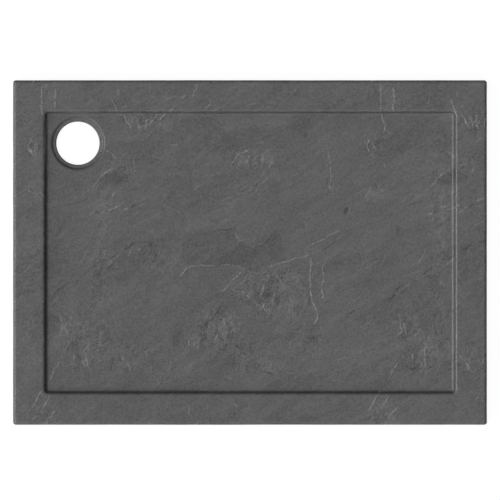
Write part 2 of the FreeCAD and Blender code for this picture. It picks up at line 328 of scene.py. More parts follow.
# Clefts of the slate on one tile, in millimetres from the middle of the tray: strength, then points.
# A cleft of negative strength is dark. Two nearer than 6 mm to each other fade, as the mesh can't hold both.
CLEFTS = (
    # the long cleft across the middle, with its twins and branches
    (0.9, (-162, -55), (-149, -38), (-135, -31), (-108, -29), (-81, -33)),
    (0.55, (-76, -30), (-58, -27), (-31, -31), (-8, -40), (4, -46), (31, -49), (40, -42)),
    (0.8, (44, -36), (56, -28), (66, -25), (89, -20), (101, -14), (120, -11), (147, -3), (169, 9)),
    (-0.5, (153, -2), (174, 7), (201, 27)),
    (0.8, (126, 9), (147, 19), (182, 38), (213, 55)),
    (0.6, (196, 27), (217, 40)),
    (0.6, (151, -28), (174, -16), (205, -1)),
    (0.9, (-66, -92), (-44, -69), (-19, -44)),
    (0.6, (-23, -73), (0, -59)),
    (0.7, (-42, -86), (-19, -91), (0, -104), (25, -127), (50, -139)),
    (1.0, (143, -12), (141, -34), (139, -61), (141, -96), (144, -115), (155, -133), (158, -150), (151, -166)),
    (0.9, (180, -20), (168, -34), (171, -57), (168, -88), (170, -111)),
    (-0.4, (172, -112), (173, -122)),
    # the smooth plate above it
    (-0.4, (-77, 52), (-54, 52), (-37, 55), (-29, 63)),
    (0.5, (-33, 52), (-31, 42), (-25, 26), (-19, 30)),
    (0.4, (2, 28), (14, 34)),
    (-0.4, (37, 24), (62, 52)),
    (0.5, (2, 11), (31, 22)),
    # flakes below it
    (0.9, (70, -65), (75, -73)),
    (0.8, (36, -52), (46, -56)),
    (0.6, (82, -73), (93, -85)),
    (0.5, (98, -90), (122, -92)),
    (-0.5, (24, -106), (39, -123)),
    (0.6, (-56, 90), (-40, 104), (-31, 121)),
    (0.9, (228, 88), (232, 106)),
    (0.5, (224, -119), (244, -111), (259, -100)),
    (-0.5, (224, -150), (252, -127)),
    # left rim and the back left corner
    (1.0, (-482, 394), (-483, 368), (-483, 325), (-471, 296), (-475, 273)),
    (0.9, (-456, 394), (-451, 374), (-453, 322)),
    (0.7, (-475, 212), (-470, 192)),
    (0.6, (-460, 190), (-447, 183)),
    (0.8, (-468, 283), (-459, 276)),
    (0.8, (-483, 392), (-474, 385), (-468, 393)),
    (1.2, (-508, 268), (-513, 246), (-503, 227)),
    (0.8, (-500, 254), (-495, 240)),
    (0.5, (-520, 150), (-500, 133)),
    (0.6, (-492, 140), (-474, 132)),
    (0.6, (-536, 138), (-506, 156)),
    (0.5, (-376, 342), (-367, 361)),
    # feathers behind the waste
    (1.3, (-320, 355), (-314, 340), (-310, 327)),
    (0.8, (-305, 377), (-304, 363)),
    (0.6, (-298, 334), (-287, 344)),
    (1.4, (-294, 321), (-284, 303), (-275, 288)),
    (1.1, (-277, 319), (-270, 300)),
    (1.6, (-264, 314), (-257, 289)),
    (1.7, (-238, 311), (-242, 289)),
    (1.6, (-216, 322), (-225, 308), (-232, 298)),
    (1.5, (-196, 326), (-209, 307)),
    (0.5, (-205, 302), (-216, 292)),
    (0.4, (-222, 284), (-242, 268), (-262, 256)),
    (1.2, (-172, 341), (-190, 325)),
    (0.8, (-147, 365), (-165, 357)),
    (1.0, (-122, 394), (-125, 376), (-133, 363)),
    (0.9, (-90, 348), (-107, 330)),
    (0.6, (-233, 396), (-232, 363)),
    (0.6, (-172, 324), (-176, 312)),
    (-0.5, (-181, 323), (-186, 312)),
    (-0.5, (-239, 325), (-232, 312)),
    (-0.4, (-250, 318), (-256, 306)),
    (-0.5, (-110, 322), (-99, 319)),
    (0.4, (-248, 357), (-218, 360), (-188, 359), (-169, 363)),
    (0.5, (-83, 331), (-59, 341)),
    (0.6, (-6, 344), (17, 346)),
    # beside the waste
    (0.7, (-337, 241), (-320, 228), (-307, 216)),
    (1.0, (-289, 211), (-287, 201)),
    (0.8, (-299, 201), (-290, 205)),
    (0.6, (-270, 201), (-269, 221)),
    (0.5, (-272, 180), (-264, 195)),
    (0.9, (-368, 151), (-355, 163), (-347, 177), (-313, 198)),
    (0.4, (-415, 121), (-392, 131), (-368, 151)),
    (-0.4, (-313, 198), (-287, 178), (-284, 168)),
    (0.5, (-188, 251), (-166, 251)),
    (0.5, (-217, 219), (-201, 221)),
    (0.5, (-188, 183), (-166, 183)),
    # slanting bundle in front of the waste
    (1.3, (-314, 144), (-317, 135), (-320, 126)),
    (-0.3, (-430, 108), (-373, 125)),
    (0.9, (-329, 120), (-350, 105)),
    (0.6, (-336, 121), (-344, 112)),
    (0.8, (-321, 112), (-346, 101)),
    (-0.5, (-319, 109), (-333, 101)),
    (0.7, (-358, 99), (-375, 85)),
    (0.5, (-335, 96), (-350, 88)),
    (1.1, (-294, 115), (-319, 101), (-331, 97)),
    (-0.6, (-301, 117), (-293, 121)),
    (1.0, (-241, 128), (-267, 116)),
    (1.0, (-280, 106), (-301, 94), (-315, 83)),
    (-0.5, (-240, 123), (-267, 110), (-282, 99)),
    (0.6, (-248, 101), (-267, 87)),
    (0.5, (-248, 113), (-263, 105)),
    (-0.5, (-302, 90), (-323, 77), (-340, 67), (-354, 56)),
    (0.7, (-191, 137), (-201, 132)),
    (0.4, (-270, 60), (-235, 78), (-205, 95)),
    # the crease from the left edge
    (-0.5, (-466, -115), (-440, -82), (-424, -73)),
    (-0.5, (-412, -68), (-395, -62)),
    (-0.5, (-386, -52), (-367, -39), (-352, -30)),
    (-0.5, (-340, -18), (-320, -10), (-312, -6)),
    (-0.5, (-292, 4), (-280, 14), (-267, 24)),
    (0.4, (-463, -125), (-426, -78), (-403, -70)),
    (0.5, (-337, -35), (-320, -18), (-300, -5)),
    (0.6, (-396, -28), (-376, 7)),
    (0.7, (-282, -8), (-277, 5)),
    (0.6, (-260, 3), (-250, 12)),
    (-0.5, (-262, 24), (-241, 26), (-231, 22), (-227, 5)),
    (0.3, (-542, -58), (-509, -32), (-483, -15)),
    (0.5, (-526, -175), (-506, -161)),
    # front left
    (0.9, (-441, -141), (-433, -181), (-444, -196)),
    (0.7, (-427, -160), (-424, -190)),
    (0.6, (-414, -142), (-416, -162)),
    (0.9, (-131, -200), (-128, -222)),
    (0.8, (-142, -200), (-141, -219)),
    (0.9, (-83, -163), (-81, -184)),
    (0.9, (-58, -150), (-62, -170)),
    (-0.3, (-101, -160), (-108, -186)),
    (-0.4, (-356, -168), (-352, -196)),
    (0.9, (-464, -296), (-453, -271), (-441, -253)),
    (1.3, (-511, -366), (-495, -342), (-481, -318)),
    (1.1, (-505, -391), (-486, -374), (-474, -350), (-463, -333)),
    (-0.7, (-489, -381), (-475, -360)),
    (1.0, (-466, -386), (-455, -372), (-444, -360)),
    (0.9, (-453, -397), (-454, -383)),
    (1.1, (-410, -250), (-408, -234)),
    (1.1, (-376, -266), (-380, -246), (-382, -228), (-372, -212)),
    (0.9, (-385, -264), (-391, -248)),
    (0.5, (-425, -211), (-410, -203), (-390, -178), (-383, -193)),
    (-0.4, (-424, -206), (-413, -200)),
    (0.5, (-370, -226), (-340, -206)),
    (-0.3, (-366, -234), (-327, -196)),
    (1.0, (-299, -236), (-294, -249)),
    (0.9, (-285, -253), (-277, -273)),
    (-0.5, (-315, -246), (-323, -276)),
    (-0.5, (-340, -233), (-333, -219)),
    (0.6, (-226, -362), (-216, -346)),
    (0.5, (-264, -342), (-254, -333)),
    (0.5, (-247, -236), (-224, -218)),
    (-0.3, (-187, -279), (-161, -253)),
    # front middle
    (0.8, (-66, -185), (-53, -168)),
    (1.0, (-49, -203), (-46, -194)),
    (0.7, (-72, -172), (-70, -190)),
    (1.0, (-119, -224), (-119, -211)),
    (0.8, (-135, -204), (-129, -198)),
    (-0.7, (-33, -214), (-20, -224)),
    (0.9, (-20, -238), (-13, -243)),
    (-0.7, (30, -276), (55, -284)),
    (0.9, (110, -243), (120, -241)),
    (0.9, (146, -236), (156, -241)),
    (-0.7, (136, -198), (151, -198)),
    (-0.5, (160, -173), (168, -180)),
    (0.5, (179, -261), (202, -249), (232, -244)),
    (0.9, (-43, -347), (-25, -356)),
    (0.5, (-36, -364), (-23, -377)),
    (0.8, (-142, -377), (-141, -357)),
    (0.6, (-99, -364), (-97, -351)),
    (-0.5, (-93, -381), (-94, -397)),
    (0.5, (70, -274), (83, -254)),
    (0.5, (-61, -284), (-33, -301)),
    (0.6, (-79, -271), (-69, -278)),
    # back middle
    (0.9, (-46, 201), (-38, 214), (-30, 228), (0, 238)),
    (0.8, (-25, 205), (-23, 224)),
    (0.9, (-10, 205), (2, 228)),
    (0.8, (3, 228), (23, 224), (40, 231)),
    (1.0, (36, 240), (44, 232)),
    (0.7, (28, 201), (30, 221)),
    (1.0, (43, 191), (50, 211), (55, 221)),
    (0.6, (13, 251), (33, 258)),
    (0.6, (187, 163), (188, 201), (181, 238)),
    (1.3, (184, 156), (191, 146), (208, 154)),
    (-0.4, (194, 152), (216, 158)),
    (0.4, (-36, 148), (-3, 168)),
    (0.5, (-69, 118), (-30, 135), (-3, 145), (37, 188)),
    (0.4, (-60, 109), (-24, 124), (8, 136), (44, 178)),
    (-0.4, (-16, 126), (4, 142), (26, 169)),
    (0.8, (-46, 101), (-30, 125)),
    (0.9, (-132, 145), (-116, 155)),
    (0.4, (-96, 128), (-76, 118)),
    (0.5, (66, 168), (86, 175)),
    (0.5, (23, 291), (33, 298)),
    (0.5, (83, 358), (110, 381)),
    (-0.3, (89, 354), (119, 378)),
)

# Plates with crisp edges, in millimetres: how much lighter, then corners.
PLATES = (
    (-0.13, (-153, 50), (-77, 52), (-33, 55), (-25, 26), (0, 9), (31, 20), (66, 48), (85, 5),
     (85, -18), (47, -32), (4, -45), (-31, -30), (-77, -30), (-151, -34), (-160, 5)),
    (-0.20, (-347, 175), (-313, 197), (-284, 171), (-300, 161), (-340, 161)),
    (-0.40, (214, 90), (219, 106), (227, 104), (223, 88)),
    (-0.25, (-446, 40), (-442, 62), (-434, 64), (-436, 46)),
    (-0.10, (-120, 320), (-60, 300), (-20, 250), (-60, 200), (-100, 240)),
    (-0.05, (126, 262), (146, 290), (170, 320), (120, 330), (80, 300)),
    (0.05, (150, 262), (150, 285), (215, 352), (260, 330), (240, 240), (190, 200)),
)

# Soft darker and lighter places, in millimetres: middle, half sizes, turn in degrees, how much lighter.
PATCHES = (
    ((35, -55), (9, 3), -10, -0.40),
    ((47, -100), (14, 7), -15, -0.28),
    ((-66, -127), (9, 18), -10, -0.12),
    ((-31, -111), (18, 10), 0, -0.15),
    ((-35, -131), (14, 9), 0, -0.15),
    ((201, -28), (14, 10), 0, -0.18),
    ((129, 268), (6, 9), 0, -0.22),
    ((-353, 93), (5, 4), 0, -0.35),
    ((-407, -272), (6, 5), 0, -0.40),
    ((-396, -258), (8, 20), 0, -0.24),
    ((-320, -136), (3, 3), 0, -0.40),
    ((-171, -206), (14, 22), 0, -0.15),
    ((-79, -174), (5, 9), 0, -0.24),
    ((-112, -178), (12, 22), 0, -0.10),
    ((-170, -185), (14, 30), 0, -0.15),
    ((-345, -215), (10, 18), -15, -0.14),
    ((200, -285), (60, 20), 15, -0.06),
    ((-13, 274), (48, 20), 25, -0.08),
    ((120, 300), (30, 25), 40, -0.06),
    ((60, 160), (12, 14), 0, -0.12),
    ((-3, 218), (44, 22), 10, 0.10),
    ((-496, 137), (34, 22), 0, 0.04),
    ((-440, -90), (20, 30), -30, -0.06),
    ((-535, 335), (14, 30), 0, -0.10),
    ((-270, 285), (14, 10), 0, -0.10),
    ((-380, -150), (50, 25), 30, -0.05),
    ((-467, 362), (14, 36), 0, 0.12),
    ((-462, -364), (26, 36), 20, 0.09),
    ((-446, -205), (14, 22), 0, 0.10),
    ((-385, -225), (12, 30), 0, 0.08),
    ((-372, -160), (30, 26), 30, -0.07),
    ((-60, -170), (22, 30), -20, 0.09),
    ((60, -60), (30, 16), 20, -0.08),
    ((105, -110), (30, 24), 0, 0.05),
    ((-42, -36), (44, 7), 8, 0.09),
    ((72, -29), (34, 6), -18, 0.12),
    ((150, 6), (34, 7), -28, 0.08),
)

# Places where the slate split roughly, in millimetres: middle, half sizes, how rough.
ROUGH = (
    ((-250, 305), (60, 30), 0.7),
    ((-300, 210), (45, 25), 0.5),
    ((-395, -205), (60, 80), 0.7),
    ((-300, -240), (45, 40), 0.5),
    ((-215, -20), (40, 40), 0.6),
    ((70, -95), (100, 62), 1.0),
    ((-75, -180), (62, 58), 1.0),
    ((20, -240), (90, 45), 0.6),
    ((130, -205), (60, 45), 0.6),
    ((-200, -260), (110, 45), 0.4),
    ((440, -20), (28, 330), 0.5),
    ((410, -225), (60, 70), 0.7),
    ((0, 217), (52, 26), 0.8),
    ((187, 180), (25, 50), 0.5),
    ((-470, 385), (30, 18), 0.7),
    ((-512, -165), (18, 20), 0.5),
    ((-475, -370), (40, 28), 0.6),
    ((-440, -155), (18, 28), 0.8),
    ((-496, 245), (26, 30), 0.8),
    ((-490, 140), (34, 26), 0.6),
    ((-500, -20), (30, 30), 0.3),
)


def wrap(value, middle, period):
    """The offset from the middle, taken to the nearest repeat of the tile."""
    return np.mod(value - middle + period / 2, period) - period / 2


def about(x, y, points, period):
    """Places moved to the repeat of the tile that is nearest to the middle of some points."""
    middle_x = sum(p[0] for p in points) / len(points)
    middle_y = sum(p[1] for p in points) / len(points)
    return wrap(x, middle_x, period) + middle_x, wrap(y, middle_y, period) + middle_y


def from_run(x, y, start, end):
    """How far along a straight run each place is, how far off it, and its side: 1 at the right or front."""
    towards_x, towards_y = 0.6, 0.8  # a run that goes about this way has side 1 at its right
    run = math.dist(start, end)
    way_x = (end[0] - start[0]) / run
    way_y = (end[1] - start[1]) / run
    px = x - start[0]
    py = y - start[1]
    along = np.clip(px * way_x + py * way_y, 0, run)
    away = np.hypot(px - along * way_x, py - along * way_y)
    turn = 1.0 if towards_x * way_x + towards_y * way_y < 0 else -1.0
    return along, away, turn * np.sign(way_x * py - way_y * px)


def no_cleft(x):
    """What is known of each place before any cleft: its distance, side and strength."""
    return [np.full(x.shape, FAR), np.ones_like(x), np.zeros_like(x)]


def closer_of(known, new):
    """The known values, or the new ones where their first, the distance, is smaller."""
    closer = new[0] < known[0]
    return [np.where(closer, after, before) for after, before in zip(new, known)]


def one_cleft(x, y, strength, points, period):
    """Distance in millimetres to a cleft, its side and its strength, which tapers at both ends."""
    longest_taper = 5.0
    least_share = 0.15
    from_x, from_y = about(x, y, points, period)
    whole = sum(math.dist(p, q) for p, q in zip(points, points[1:]))
    ends = min(longest_taper, whole / 4)
    known = no_cleft(x)
    done = 0.0
    for start, end in zip(points, points[1:]):
        along, away, side = from_run(from_x, from_y, start, end)
        at = done + along
        taper = np.clip(np.minimum(at, whole - at) / ends + least_share, 0, 1)
        known = closer_of(known, (away, side, strength * taper))
        done += math.dist(start, end)
    return known


def nearest_cleft(x, y, period):
    """Distance in millimetres to the nearest cleft, its side and its strength, which fades to the next."""
    fade_width = 6
    known = no_cleft(x)
    second = known[0]
    for strength, *points in CLEFTS:
        new = one_cleft(x, y, strength, points, period)
        second = np.minimum(second, np.maximum(new[0], known[0]))
        known = closer_of(known, new)
    nearest, side, power = known
    return nearest, side, power * np.clip((second - nearest) / fade_width, 0, 1)


def patches(x, y, period):
    """How much lighter the soft patches make the slate."""
    total = np.zeros_like(x)
    for (middle_x, middle_y), (half_x, half_y), turn, lighter in PATCHES:
        c = math.cos(math.radians(turn))
        s = math.sin(math.radians(turn))
        dx = wrap(x, middle_x, period)
        dy = wrap(y, middle_y, period)
        far = np.hypot((dx * c + dy * s) / half_x, (dy * c - dx * s) / half_y)
        total += lighter * np.exp(-far ** 4)
    return total


def plates(x, y, period):
    """How much lighter the plates make the slate, which is also their height in millimetres."""
    edge_width = 6
    total = np.zeros_like(x)
    for lighter, *corners in PLATES:
        from_x, from_y = about(x, y, corners, period)
        nearest = np.full(x.shape, FAR)
        inside = np.zeros(x.shape, bool)
        for (ax, ay), (bx, by) in zip(corners, corners[1:] + corners[:1]):
            _along, away, _side = from_run(from_x, from_y, (ax, ay), (bx, by))
            nearest = np.minimum(nearest, away)
            if ay != by:
                crosses = (ay > from_y) != (by > from_y)
                inside ^= crosses & (from_x < (bx - ax) * (from_y - ay) / (by - ay) + ax)
        signed = np.where(inside, nearest, -nearest)
        total += lighter * fade(signed / edge_width + 0.5)
    return total


def roughness_of(x, y, period):
    """How roughly the slate split, from 0 to 1."""
    total = np.zeros_like(x)
    for (middle_x, middle_y), (half_x, half_y), amount in ROUGH:
        far = np.hypot(wrap(x, middle_x, period) / half_x, wrap(y, middle_y, period) / half_y)
        total = np.maximum(total, amount * np.exp(-far ** 4))
    return total


def slate_fields(u, v, tile):
    """The slate at unrolled places: height, tone, distance to the nearest cleft, its strength, roughness.

    Height and distance are in millimetres. The distance is negative on the cleft's left and back.
    """
    def grain(size, lattice, seed):
        return size * tile_noise(u / tile, v / tile, lattice, seed)

    lip_height, lip_width = 0.10, 9
    # painted shade: how much the colour darkens beside each cleft, and over how many millimetres
    painted_shade, painted_shade_width = 0.05, 6
    plate_tone = 1.4
    vein_reach, vein_fade = 6.5, 2
    farthest = 30
    period = tile / MM
    x = u / MM + grain(1.6, even(30), 21) + grain(1.2, even(80), 23)
    y = v / MM + grain(1.6, even(30), 22) + grain(1.2, even(80), 24)
    nearest, side, power = nearest_cleft(x, y, period)
    swell = grain(0.20, ((2, 1), (-4, 7)), 3)
    lumps = grain(0.14, ((6, 3), (-14, 22)), 4) + grain(0.06, even(38), 5)
    lip = lip_height * np.abs(power) * side * np.exp(-(nearest / lip_width) ** 2)
    frayed_x = x + grain(5.0, even(15), 25) + grain(4.0, even(50), 27)
    frayed_y = y + grain(5.0, even(15), 26) + grain(4.0, even(50), 28)
    plate = plates(frayed_x, frayed_y, period)
    tone = grain(0.08, ((4, 2), (-5, 9)), 6) + grain(0.08, ((9, 5), (-12, 17)), 7)
    lighter = tone + plate_tone * plate + patches(frayed_x, frayed_y, period)
    # painted shade in the clefts' creases, darkening the colour on both sides
    lighter -= painted_shade * np.abs(power) * np.exp(-(nearest / painted_shade_width) ** 2)
    power = power * np.clip((vein_reach - nearest) / vein_fade, 0, 1)
    rough = roughness_of(x, y, period) + grain(0.15, even(7), 8)
    return swell + lumps + lip + plate, lighter, np.clip(side * nearest, -farthest, farthest), power, rough


# ---------------------------------------------------------------- the formed sheet


def quarter(count):
    """Angles through a quarter turn."""
    return [math.pi / 2 * i / count for i in range(count + 1)]


class Sheet:
    """One side of the formed sheet, built as rings about a floor of quads with a round patch at the waste.

    Inward is the way from the face to this side: 0 for the face, the sheet's thickness for its back.
    """

    def __init__(self, mesh, form, inward, step, turn_steps):
        self.mesh = mesh
        self.form = form
        self.inward = inward
        self.turn_steps = turn_steps
        self.half_x = (SHEET_HIGH.x - SHEET_LOW.x) / 2
        self.half_y = (SHEET_HIGH.y - SHEET_LOW.y) / 2
        self.top = SHEET_HIGH.z - inward
        self.bottom = SHEET_LOW.z
        self.floor_x = self.half_x - form.rim_width - form.floor_radius
        self.floor_y = self.half_y - form.rim_width - form.floor_radius
        self.cells_x = round(2 * self.floor_x / step)
        self.cells_y = round(2 * self.floor_y / step)
        self.step = step
        self.unrolled = [mesh.verts.layers.float[name] for name in ("u", "v", "face")]

    def floor_z(self, x, y):
        """The height of the floor, which falls evenly to the rebate."""
        away = math.hypot(x - WASTE.x, y - WASTE.y)
        drain = SEAT_HEIGHT + self.form.rebate_depth - self.inward
        return drain + self.form.floor_slope * max(0.0, away - self.form.rebate_radius)

    def vertex(self, x, y, z, u=None, v=None):
        """A vertex that keeps its unrolled place u, v for the slate pattern."""
        item = self.mesh.verts.new((x, y, z))
        values = (x if u is None else u, y if v is None else v, 0.0 if self.inward else 1.0)
        for layer, value in zip(self.unrolled, values):
            item[layer] = value
        return item

    def outline(self, grow, corner):
        """Points of a rounded rectangle about the floor's edge, and the way out at each."""
        half_x = self.floor_x + grow
        half_y = self.floor_y + grow
        ways = ((0, -1), (1, 0), (0, 1), (-1, 0))
        for index, (wx, wy) in enumerate(ways):
            along_x, along_y = -wy, wx
            count = self.cells_y if wx else self.cells_x
            reach = (half_y if wx else half_x) - corner
            out = half_x if wx else half_y
            for i in range(count + 1):
                t = (2 * i / count - 1) * reach
                yield wx * out + along_x * t, wy * out + along_y * t, wx, wy
            nx, ny = ways[(index + 1) % 4]
            middle_x = (wx + nx) * (half_x - corner)
            middle_y = (wy + ny) * (half_y - corner)
            for angle in quarter(self.turn_steps)[1:-1]:
                ox = wx * math.cos(angle) + nx * math.sin(angle)
                oy = wy * math.cos(angle) + ny * math.sin(angle)
                yield middle_x + corner * ox, middle_y + corner * oy, ox, oy

    def ring(self, grow, corner, height):
        """A ring of vertices; height is a number, or a function of the place on the floor's edge."""
        made = []
        edge = list(self.outline(0.0, 0.0))
        for (x, y, wx, wy), (fx, fy, _wx, _wy) in zip(self.outline(grow, corner), edge):
            z = height(fx, fy) if callable(height) else height
            down = max(0.0, self.top - z) if grow > self.form.rim_width else 0.0
            made.append(self.vertex(x, y, z, x + wx * down, y + wy * down))
        return made

    def skin(self, inner, outer):
        """Quads between two rings."""
        count = len(inner)
        for i in range(count):
            j = (i + 1) % count
            self.mesh.faces.new((inner[i], outer[i], outer[j], inner[j]))

    def border(self):
        """Rings from the floor's edge over the step, the rim and the outer edge to the skirt's bottom."""
        form = self.form
        foot = form.floor_radius + self.inward
        edge = form.edge_radius - self.inward
        rings = []
        for angle in quarter(self.turn_steps):
            rings.append(self.ring(foot * math.sin(angle), foot * math.sin(angle),
                                   lambda x, y, a=angle: self.floor_z(x, y) + foot * (1 - math.cos(a))))
        for angle in quarter(self.turn_steps):
            out = foot + edge * (1 - math.cos(angle))
            rings.append(self.ring(out, out, self.top - edge * (1 - math.sin(angle))))
        rim_in = foot + edge
        rim_out = self.half_x - self.inward - edge - self.floor_x
        count = max(1, round((rim_out - rim_in) / self.step))
        for i in range(1, count + 1):
            t = i / count
            rings.append(self.ring(rim_in + (rim_out - rim_in) * t, rim_in * (1 - t), self.top))
        for angle in quarter(self.turn_steps)[1:]:
            out = edge * math.sin(angle)
            rings.append(self.ring(rim_out + out, out, self.top - edge * (1 - math.cos(angle))))
        wall = self.top - edge - self.bottom
        count = max(1, round(wall / self.step))
        for i in range(1, count + 1):
            rings.append(self.ring(rim_out + edge, edge, self.top - edge - wall * i / count))
        for inner, outer in zip(rings, rings[1:]):
            self.skin(inner, outer)

    def floor(self):
        """The floor's quads, less those at the waste, and the patch that joins them to the rebate's lip."""
        form = self.form
        hole = form.rebate_radius + max(form.lip_radius, self.inward)
        clear = hole + 0.3 * self.step
        patch_width = 1.5 * self.step
        fewest_turns = 24
        nx, ny = self.cells_x, self.cells_y
        grid = {}
        for i in range(nx + 1):
            for j in range(ny + 1):
                x = (2 * i / nx - 1) * self.floor_x
                y = (2 * j / ny - 1) * self.floor_y
                if math.hypot(x - WASTE.x, y - WASTE.y) > clear or i in (0, nx) or j in (0, ny):
                    grid[i, j] = self.vertex(x, y, self.floor_z(x, y))
        cut = set()
        for i in range(nx):
            for j in range(ny):
                corners = [(i, j), (i + 1, j), (i + 1, j + 1), (i, j + 1)]
                x = (2 * (i + 0.5) / nx - 1) * self.floor_x - WASTE.x
                y = (2 * (j + 0.5) / ny - 1) * self.floor_y - WASTE.y
                if all(c in grid for c in corners) and math.hypot(x, y) > clear + patch_width:
                    self.mesh.faces.new([grid[c] for c in corners])
                else:
                    cut.add((i, j))
        turns = max(fewest_turns, round(2 * math.pi * hole / self.step))
        lip = self.waste_ring(hole, turns)
        self.patch(grid, cut, lip, hole)
        self.rebate(lip, turns)

    def waste_ring(self, radius, turns, height=None):
        """A ring about the waste, at a height or on the floor."""
        made = []
        for i in range(turns):
            angle = 2 * math.pi * i / turns
            x = WASTE.x + radius * math.cos(angle)
            y = WASTE.y + radius * math.sin(angle)
            z = self.floor_z(x, y) if height is None else height
            made.append(self.vertex(x, y, z))
        return made

    def patch(self, grid, cut, lip, hole):
        """Triangles between the cut cells' outline and the rebate's lip."""
        around = ((0, 0), (1, 0), (1, 1), (0, 1))
        used = sorted({(i + di, j + dj) for i, j in cut for di, dj in around} & set(grid))
        items = [grid[c] for c in used] + lip
        index = {item: k for k, item in enumerate(items)}
        points = [Vector((item.co.x, item.co.y)) for item in items]
        sides = {}
        for i, j in cut:
            corners = [(i + di, j + dj) for di, dj in around]
            for a, b in zip(corners, corners[1:] + corners[:1]):
                key = tuple(sorted((a, b)))
                sides[key] = sides.get(key, 0) + 1
        edges = [(index[grid[a]], index[grid[b]]) for (a, b), n in sides.items() if n == 1]
        edges += [(index[lip[k]], index[lip[(k + 1) % len(lip)]]) for k in range(len(lip))]
        every_triangle = 0
        touching = 1e-7
        flat = delaunay_2d_cdt(points, edges, [], every_triangle, touching)
        for triangle in flat[2]:
            middle = sum((flat[0][k] for k in triangle), Vector((0, 0))) / 3
            cell = (int((middle.x / self.floor_x + 1) / 2 * self.cells_x),
                    int((middle.y / self.floor_y + 1) / 2 * self.cells_y))
            inside = math.hypot(middle.x - WASTE.x, middle.y - WASTE.y) < hole * math.cos(math.pi / len(lip))
            if cell in cut and not inside:
                self.mesh.faces.new([items[flat[3][k][0]] for k in triangle])

    def rebate(self, lip, turns):
        """Rings from the floor over the rebate's lip, down its wall and seat and into the collar."""
        form = self.form
        drain = SEAT_HEIGHT + form.rebate_depth - self.inward
        seat = SEAT_HEIGHT - self.inward
        wall = form.rebate_radius + self.inward
        lip_radius = max(form.lip_radius - self.inward, 0.0)
        foot = form.foot_radius + self.inward
        bore = BORE_RADIUS + self.inward
        edge = max(form.bore_edge - self.inward, 0.0)
        profile = []
        for angle in quarter(self.turn_steps)[1:]:
            profile.append((wall + lip_radius * (1 - math.sin(angle)),
                            drain - lip_radius * (1 - math.cos(angle))))
        for angle in quarter(self.turn_steps):
            profile.append((wall - foot * (1 - math.cos(angle)), seat + foot * (1 - math.sin(angle))))
        for angle in quarter(self.turn_steps):
            profile.append((bore + edge * (1 - math.sin(angle)), seat - edge * (1 - math.cos(angle))))
        count = max(1, round((seat - edge - self.bottom) / self.step))
        for i in range(1, count + 1):
            profile.append((bore, seat - edge + (self.bottom - seat + edge) * i / count))
        outer = lip
        for radius, z in profile:
            inner = self.waste_ring(radius, turns, z)
            self.skin(inner, outer)
            outer = inner

    def build(self):
        """The whole side."""
        self.border()
        self.floor()


def close_ends(mesh):
    """The flat ends of the sheet: under the skirt and under the collar of the waste hole."""
    open_edges = [edge for edge in mesh.edges if len(edge.link_faces) == 1]
    near = [math.dist(edge.verts[0].co.xy, WASTE.xy) < 1.5 * BORE_RADIUS for edge in open_edges]
    for at_waste in (True, False):
        loops = [edge for edge, close in zip(open_edges, near) if close == at_waste]
        bmesh.ops.triangle_fill(mesh, use_beauty=False, use_dissolve=False, edges=loops)


def read_field(data, name):
    """A value of each point of a mesh."""
    values = np.empty(len(data.vertices))
    data.attributes[name].data.foreach_get("value", values)
    return values


def write_field(data, name, values):
    """Keeps a value for each point of a mesh."""
    data.attributes.new(name, "FLOAT", "POINT").data.foreach_set("value", values.astype(np.float32))


def carve(data, form, slate):
    """Moves the face's points by the slate's relief and keeps the clefts and the tone for its material.

    The relief ends at the rebate and at the skirt's bottom, and grows to its full height over a short way.
    """
    rebate_way = 0.010
    skirt_way = 0.006
    count = len(data.vertices)
    place = np.empty(count * 3)
    way = np.empty(count * 3)
    data.vertices.foreach_get("co", place)
    data.vertex_normals.foreach_get("vector", way)
    place = place.reshape(-1, 3)
    way = way.reshape(-1, 3)
    fields = slate_fields(read_field(data, "u"), read_field(data, "v"), slate.tile)
    height, lighter, side, strength, rough = fields
    away = np.hypot(place[:, 0] - WASTE.x, place[:, 1] - WASTE.y)
    shown = read_field(data, "face") * fade((away - form.rebate_radius - form.lip_radius) / rebate_way)
    rise = shown * fade((place[:, 2] - SHEET_LOW.z) / skirt_way) * height * slate.relief * MM
    place = place + way * rise[:, None]
    data.vertices.foreach_set("co", place.ravel())
    for name in ("u", "v", "face"):
        data.attributes.remove(data.attributes[name])
    write_field(data, "lighter", lighter * shown)
    write_field(data, "vein_side", side)
    write_field(data, "vein_strength", strength * shown)
    write_field(data, "rough", np.clip(rough, 0, 1) * shown)


# What each layer of the slate's material adds to its tone, and its height in millimetres
LAYERS = {
    "mottle": (0.22, 0.16),
    "streaks": (0.32, 0.18),
    "grain": (0.92, 0.20),
    "shade": (0.19, 0.0),
    "tread": (0.0, 0.14),
    "edge": (0.20, 0.0),
    "pale": (0.26, 0.20),
    "dark": (-0.22, -0.20),
    "flake": (0.72, 0.40),
    "crumbs": (0.46, 0.20),
    "vein": (1.8, 0.40),
    "twin": (0.80, 0.0),
    # painted shadow beside the clefts: colour only, no height
    "lee": (-0.30, 0.0),
}


def terraces(graph, place):
    """Flat steps of the stone: the shade of each, its tread and its pale edge."""
    steps = 3.6
    level = steps * graph.noise(graph.stretch(place, -30, (5.0, 13.0, 12.0)), detail=8.0, roughness=0.64)
    part = graph.node("ShaderNodeMath", {"operation": "FRACT"}, {0: level})
    shade = graph.node("ShaderNodeTexWhiteNoise", {"noise_dimensions": "1D"}, {"W": level - part}) - 0.5
    return {"shade": shade, "tread": graph.ramp(part, 0.0, 0.16), "edge": 1.0 - graph.ramp(part, 0.0, 0.24)}


